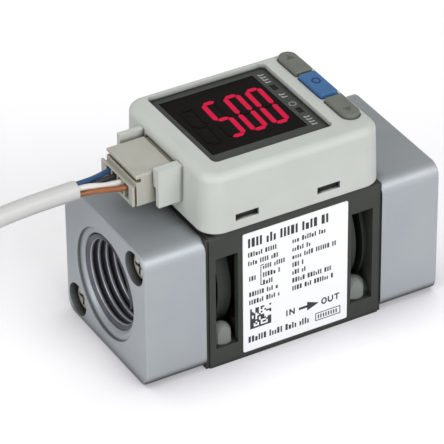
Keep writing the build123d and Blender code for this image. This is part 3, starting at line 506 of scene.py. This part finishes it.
# display housing and the tray with the digits
# in housingResin and trayResin the paler edge colour is a painted highlight and the dark hollow
# colour is painted shade
housingResin = {"colour": (196, 200, 194), "shade": (191, 196, 189), "patch": 10.0, "grain": 0.18,
                "depth": 0.016, "roughness": 0.5, "roughSpread": 0.07, "edge": 0.25,
                "edgeHighlight": (214, 217, 212), "edgeHighlightShare": 0.4, "creviceShade": (52, 55, 49), "reach": 1.8,
                "opening": (0.4, 0.75)}
trayResin = {"colour": (69, 71, 67), "shade": (64, 66, 62), "patch": 6.0, "grain": 0.14,
             "depth": 0.014, "roughness": 0.55, "specular": 0.25, "edge": 0.12,
             "edgeHighlight": (92, 94, 90), "edgeHighlightShare": 0.4, "creviceShade": (22, 24, 21), "reach": 1.4,
             "opening": (0.45, 0.95)}
displayBlack = {"colour": (13, 8, 7), "shade": (11, 7, 6), "patch": 8.0, "grain": 0.3,
                "depth": 0.002, "roughness": 0.3, "roughSpread": 0.03, "specular": 0.06}
litRed = {"colour": (60, 6, 16), "shade": (52, 5, 13), "patch": 2.0, "grain": 0.2, "depth": 0.002,
          "roughness": 0.4, "specular": 0.05, "glow": (206, 24, 66), "glowStrength": 0.95}
unlitBar = {"colour": (15, 9, 8), "shade": (13, 8, 7), "patch": 2.0, "grain": 0.2,
            "depth": 0.002, "roughness": 0.35, "specular": 0.05}
lampLens = {"colour": (30, 20, 21), "shade": (25, 18, 19), "patch": 1.0, "grain": 0.1,
            "depth": 0.004, "roughness": 0.25, "specular": 0.15}
dress(finish("housingResin", housingResin), "display_housing")
dress(finish("trayResin", trayResin), "display_panel")
dress(finish("displayBlack", displayBlack), "led_display")
dress(finish("litRed", litRed), "lit_segments")
dress(finish("unlitBar", unlitBar), "unlit_segments")
dress(finish("lampLens", lampLens), "output_lamps")
print("housing and display done")


# buttons with their moulded marks
# in buttonGrey and buttonBlue the paler edge colour is a painted highlight and the dark hollow
# colour is painted shade
buttonGrey = {"colour": (112, 116, 107), "shade": (106, 110, 101), "patch": 4.0, "grain": 0.16,
              "depth": 0.016, "roughness": 0.55, "specular": 0.35, "edge": 0.15,
              "edgeHighlight": (134, 137, 130), "edgeHighlightShare": 0.4, "creviceShade": (58, 60, 54), "reach": 1.0}
buttonBlue = {"colour": (62, 108, 158), "shade": (57, 101, 150), "patch": 4.0, "grain": 0.16,
              "depth": 0.014, "roughness": 0.48, "specular": 0.35, "edge": 0.15,
              "edgeHighlight": (92, 132, 186), "edgeHighlightShare": 0.4, "creviceShade": (26, 48, 88), "reach": 1.0}
plungerResin = {"colour": (60, 60, 58), "shade": (54, 54, 52), "patch": 2.0, "grain": 0.1,
                "depth": 0.006, "roughness": 0.4}
switchResin = {"colour": (40, 40, 42), "shade": (35, 35, 37), "patch": 2.0, "grain": 0.1,
               "depth": 0.008, "roughness": 0.5}
greyCap = finish("buttonGrey", buttonGrey)
blueCap = finish("buttonBlue", buttonBlue)
dress(greyCap, "button_up", "button_down")
dress(blueCap, "button_set")
dress(finish("plungerResin", plungerResin), "plunger_up", "plunger_set", "plunger_down")
dress(finish("switchResin", switchResin), "key_switches")
buttonMarks = {"x": 16.95, "top": 47.6, "proud": 0.06, "size": 0.95, "ringWidth": 0.32,
               "places": {"up": 13.4, "set": 2.6, "down": -10.2}, "dark": {"colour": (84, 87, 80),
                                                                           "shade": (80, 83, 76),
                                                                           "patch": 2.0,
                                                                           "grain": 0.1,
                                                                           "depth": 0.006,
                                                                           "roughness": 0.55},
               "pale": {"colour": (40, 76, 134), "shade": (37, 71, 127), "patch": 2.0, "grain": 0.1,
                        "depth": 0.006, "roughness": 0.5}}


def makeButtonMarks():
    size = buttonMarks["size"]
    dark = finish("buttonMarkDark", buttonMarks["dark"])
    pale = finish("buttonMarkBlue", buttonMarks["pale"])
    ring = [(size * 0.85 * math.cos(math.radians(a)), size * 1.05 * math.sin(math.radians(a)))
            for a in range(0, 361, 30)]
    shapes = {"up": [[(-size, -size * 0.7), (size, -size * 0.7), (0, size * 0.9)]],
              "down": [[(-size, size * 0.7), (0, -size * 0.9), (size, size * 0.7)]],
              "set": strokes(ring, buttonMarks["ringWidth"])}
    for name, outlines in shapes.items():
        y = buttonMarks["places"][name]

        def place(u, v, h):
            return buttonMarks["x"] + u, y + v, buttonMarks["top"] + h

        material, slotName = (pale, "button_blue") if name == "set" else (dark, "button_grey")
        prisms("mark" + name.capitalize(), outlines, place, buttonMarks["proud"], material,
               "button_" + name)


makeButtonMarks()
print("buttons done")


# plug, its header and the print on label and tray
# the paler edge colour here is a painted highlight and the dark hollow colour is painted shade
plugCream = {"colour": (178, 177, 168), "shade": (172, 171, 161), "patch": 5.0, "grain": 0.16,
             "depth": 0.012, "roughness": 0.48, "edge": 0.3, "edgeHighlight": (224, 221, 208), "edgeHighlightShare": 0.9,
             "creviceShade": (112, 100, 72), "reach": 1.6}
labelFilm = {"colour": (250, 251, 252), "shade": (247, 249, 250), "patch": 12.0, "grain": 0.4,
             "depth": 0.004, "roughness": 0.4}
printBlack = {"colour": (38, 38, 42), "shade": (32, 32, 36), "patch": 3.0, "grain": 0.1,
              "depth": 0.002, "roughness": 0.45}
legendWhite = {"colour": (172, 174, 168), "shade": (164, 166, 160), "patch": 2.0, "grain": 0.1,
               "depth": 0.003, "roughness": 0.5}
dress(finish("plugCream", plugCream), "plug_housing", "header_base")
dress(finish("labelFilm", labelFilm), "label_plate")

labelPrint = {
    "left": -12.4, "top": 30.7, "face": -17.65, "ink": 0.02,
    # rows of plain dashes, each with its first and last place across and its top
    "title": (1.2, 20.6, 1.4), "small": [(1.2, 8.1, 4.8), (11.7, 20.0, 4.8), (1.2, 8.3, 6.9),
                                         (11.7, 16.2, 6.9), (4.7, 10.4, 8.8), (11.7, 22.4, 8.8),
                                         (1.4, 3.4, 10.8), (4.7, 9.2, 10.8), (11.7, 14.3, 10.8),
                                         (4.7, 7.4, 12.7), (11.7, 15.1, 12.7), (1.4, 8.6, 14.7),
                                         (11.7, 21.6, 14.7), (1.4, 8.6, 16.7), (11.7, 21.6, 16.7)],
    "footer": (1.2, 16.4, 25.8),
    # height, dash and gap of each kind of row
    "kinds": {"title": (2.2, 0.5, 0.34), "small": (1.15, 0.31, 0.23), "footer": (1.5, 0.36, 0.26)},
    "seed": 4,
    "bracket": [(4.9, 8.8), (4.2, 8.8), (4.2, 13.7), (4.9, 13.7)],
    "code": {"cell": 0.42, "cells": 12, "left": 1.6, "top": 19.0, "filled": 0.48},
    "arrow": [bar(13.3, 15.6, 22.75, 23.35), [(15.3, 21.95), (18.1, 23.05), (15.3, 24.15)]],
    "words": {"places": (("IN", 10.4), ("OUT", 18.9)), "top": 22.4, "height": 1.3, "stroke": 0.32},
    "letters": {"I": [[(0, 0), (0, 1)]], "N": [[(0, 1), (0, 0), (1, 1), (1, 0)]],
                "U": [[(0, 0), (0, 0.7), (0.3, 1), (0.7, 1), (1, 0.7), (1, 0)]],
                "T": [[(0, 0), (1, 0)], [(0.5, 0), (0.5, 1)]],
                "O": [[(0.3, 0), (0.7, 0), (1, 0.3), (1, 0.7),
                       (0.7, 1), (0.3, 1), (0, 0.7), (0, 0.3), (0.3, 0)]]},
    "box": [(17.4, 25.7), (23.3, 25.7), (23.3, 27.5), (17.4, 27.5), (17.4, 25.7)],
    "boxBars": {"count": 8, "from": 17.9, "pitch": 0.62, "width": 0.3, "top": 26.1, "bottom": 27.1},
    "line": 0.2,
}


def makeLabelPrint():
    draw = random.Random(labelPrint["seed"])
    marks = []
    rows = [("title", labelPrint["title"])] + [("small", row) for row in labelPrint["small"]]
    rows.append(("footer", labelPrint["footer"]))
    for kind, (u0, u1, top) in rows:
        height, dash, gap = labelPrint["kinds"][kind]
        u, word = u0, draw.randint(3, 6)
        while u + dash < u1:
            wide = dash * draw.choice((1, 1, 1.5))
            low = draw.choice((0, 0, height * 0.3))
            marks.append(bar(u, min(u + wide, u1), top + low, top + height))
            u += wide + gap
            word -= 1
            if word == 0:
                u, word = u + 2.2 * gap, draw.randint(3, 6)
    marks += strokes(labelPrint["bracket"], labelPrint["line"])
    # a square code in the lower left corner, framed on two sides
    code = labelPrint["code"]
    cell, cells, u0, v0 = code["cell"], code["cells"], code["left"], code["top"]
    marks += [bar(u0, u0 + cell, v0, v0 + cells * cell),
              bar(u0, u0 + cells * cell, v0 + (cells - 1) * cell, v0 + cells * cell)]
    for row in range(cells - 1):
        for column in range(1, cells):
            if draw.random() < code["filled"]:
                u, v = u0 + column * cell, v0 + row * cell
                marks.append(bar(u, u + cell, v, v + cell))
    # flow arrow between its two plain words
    marks += labelPrint["arrow"]
    words = labelPrint["words"]
    for text, u in words["places"]:
        for letter in text:
            wide, advance = (0.15, 0.75) if letter == "I" else (1.0, 1.55)
            for line in labelPrint["letters"][letter]:
                path = [(u + a * wide, words["top"] + b * words["height"]) for a, b in line]
                marks += strokes(path, words["stroke"])
            u += advance
    marks += strokes(labelPrint["box"], labelPrint["line"])
    bars = labelPrint["boxBars"]
    for i in range(bars["count"]):
        u = bars["from"] + bars["pitch"] * i
        marks.append(bar(u, u + bars["width"], bars["top"], bars["bottom"]))

    def place(u, v, h):
        return labelPrint["left"] + u, labelPrint["face"] - h, labelPrint["top"] - v

    prisms("labelPrint", marks, place, labelPrint["ink"], finish("printBlack", printBlack))


makeLabelPrint()

trayLegend = {"x": 9.85, "top": 45.45, "ink": 0.03, "width": 1.25, "spans": [(9.9, 13.6),
                                                                             (3.2, 5.6),
                                                                             (-8.9, -4.6)],
              "pitch": 1.05, "stem": 0.32, "foot": 0.3, "ringY": 0.2, "ring": 0.75,
              "ringWidth": 0.28}


def makeTrayLegend():
    marks = []
    half, stem, foot = trayLegend["width"] / 2, trayLegend["stem"], trayLegend["foot"]
    for y, y1 in trayLegend["spans"]:
        while y + 0.49 < y1:
            marks.append(bar(-half, half, y, y + stem))
            marks.append(bar(-half, foot - half, y + stem, y + stem + foot))
            y += trayLegend["pitch"]
    radius, middle = trayLegend["ring"], trayLegend["ringY"]
    ring = [(radius * math.cos(math.radians(a)), middle + radius * math.sin(math.radians(a)))
            for a in range(0, 361, 30)]
    marks += strokes(ring, trayLegend["ringWidth"])

    def place(u, v, h):
        return trayLegend["x"] + u, v, trayLegend["top"] + h

    prisms("trayLegend", marks, place, trayLegend["ink"], finish("legendWhite", legendWhite))


makeTrayLegend()
print("plug and print done")


# floor, world and lamps
floorLook = {"half": 4.0, "height": -2e-5, "diffuse": (206, 205, 208), "lift": 0.45,
             "shadow": (138, 134, 145), "reach": 16.0, "shadowLift": 0.62}
worldLook = {"light": 0.55, "horizon": 1.0, "ceiling": 0.4}
lamps = {"keyLamp": {"place": (0.3, -1.5, 1.2), "aim": (0, 0, 0.02), "size": (1.2, 0.9),
                     "power": 19.4}, "sideLamp": {"place": (-1.6, -0.6, 0.9), "aim": (0, 0, 0.02),
                                                  "size": (1.0, 1.0), "power": 12.1},}


def seenBy(tree, *rays):
    # one where these rays look at the surface, and nought for the light that it gives
    path = tree.nodes.new("ShaderNodeLightPath")
    total = path.outputs[rays[0]]
    for name in rays[1:]:
        add = tree.nodes.new("ShaderNodeMath")
        add.operation = "ADD"
        add.use_clamp = True
        tree.links.new(total, add.inputs[0])
        tree.links.new(path.outputs[name], add.inputs[1])
        total = add.outputs[0]
    return total


def between(tree, factor, low, high):
    # low and high are numbers, or sockets that carry one
    mix = tree.nodes.new("ShaderNodeMix")
    tree.links.new(factor, mix.inputs["Factor"])
    for socket, source in ((mix.inputs[2], low), (mix.inputs[3], high)):
        if isinstance(source, float):
            socket.default_value = source
        else:
            tree.links.new(source, socket)
    return mix.outputs[0]


def makeStage():
    half = floorLook["half"]
    mesh = bpy.data.meshes.new("floorSheet")
    corners = ((-half, -half), (half, -half), (half, half), (-half, half))
    mesh.from_pydata([(x, y, floorLook["height"]) for x, y in corners], [], [(0, 1, 2, 3)])
    floor = bpy.data.objects.new("floorSheet", mesh)
    bpy.context.scene.collection.objects.link(floor)
    material = bpy.data.materials.new("floorPaper")
    material.use_nodes = True
    tree = material.node_tree
    tree.nodes.clear()
    diffuse = tree.nodes.new("ShaderNodeBsdfDiffuse")
    near = openness(tree, floorLook["reach"], 0.3, 0.95)
    tree.links.new(blended(tree, near, linear(*floorLook["shadow"]), linear(*floorLook["diffuse"])),
                   diffuse.inputs["Color"])
    lift = tree.nodes.new("ShaderNodeEmission")
    strength = tree.nodes.new("ShaderNodeMath")
    strength.operation = "MULTIPLY"
    lifted = floorLook["lift"]
    tree.links.new(spread(tree, near, 0, 1, lifted * floorLook["shadowLift"], lifted),
                   strength.inputs[1])
    tree.links.new(seenBy(tree, "Is Camera Ray", "Is Glossy Ray", "Is Transmission Ray"),
                   strength.inputs[0])
    tree.links.new(strength.outputs[0], lift.inputs["Strength"])
    both = tree.nodes.new("ShaderNodeAddShader")
    tree.links.new(diffuse.outputs[0], both.inputs[0])
    tree.links.new(lift.outputs[0], both.inputs[1])
    out = tree.nodes.new("ShaderNodeOutputMaterial")
    tree.links.new(both.outputs[0], out.inputs["Surface"])
    mesh.materials.append(material)

    world = bpy.data.worlds.new("studioWorld")
    bpy.context.scene.world = world
    world.use_nodes = True
    tree = world.node_tree
    back = tree.nodes["Background"]
    back.inputs["Color"].default_value = (1, 1, 1, 1)
    split = tree.nodes.new("ShaderNodeSeparateXYZ")
    tree.links.new(tree.nodes.new("ShaderNodeTexCoord").outputs["Generated"], split.inputs[0])
    mirrored = spread(tree, split.outputs["Z"], 0.05, 0.6, worldLook["horizon"],
                      worldLook["ceiling"])
    level = between(tree, seenBy(tree, "Is Glossy Ray", "Is Transmission Ray"), worldLook["light"],
                    mirrored)
    level = between(tree, seenBy(tree, "Is Camera Ray"), level, worldLook["horizon"])
    tree.links.new(level, back.inputs["Strength"])

    for name, lamp in lamps.items():
        light = bpy.data.lights.new(name, "AREA")
        light.shape = "RECTANGLE"
        light.size, light.size_y = lamp["size"]
        light.energy = lamp["power"]
        holder = bpy.data.objects.new(name, light)
        bpy.context.scene.collection.objects.link(holder)
        holder.location = lamp["place"]
        aim = Vector(lamp["aim"]) - Vector(lamp["place"])
        holder.rotation_euler = aim.to_track_quat("-Z", "Y").to_euler()


makeStage()
bpy.context.scene.view_settings.view_transform = "Standard"
print("stage lit")

bpy.context.view_layer.update()
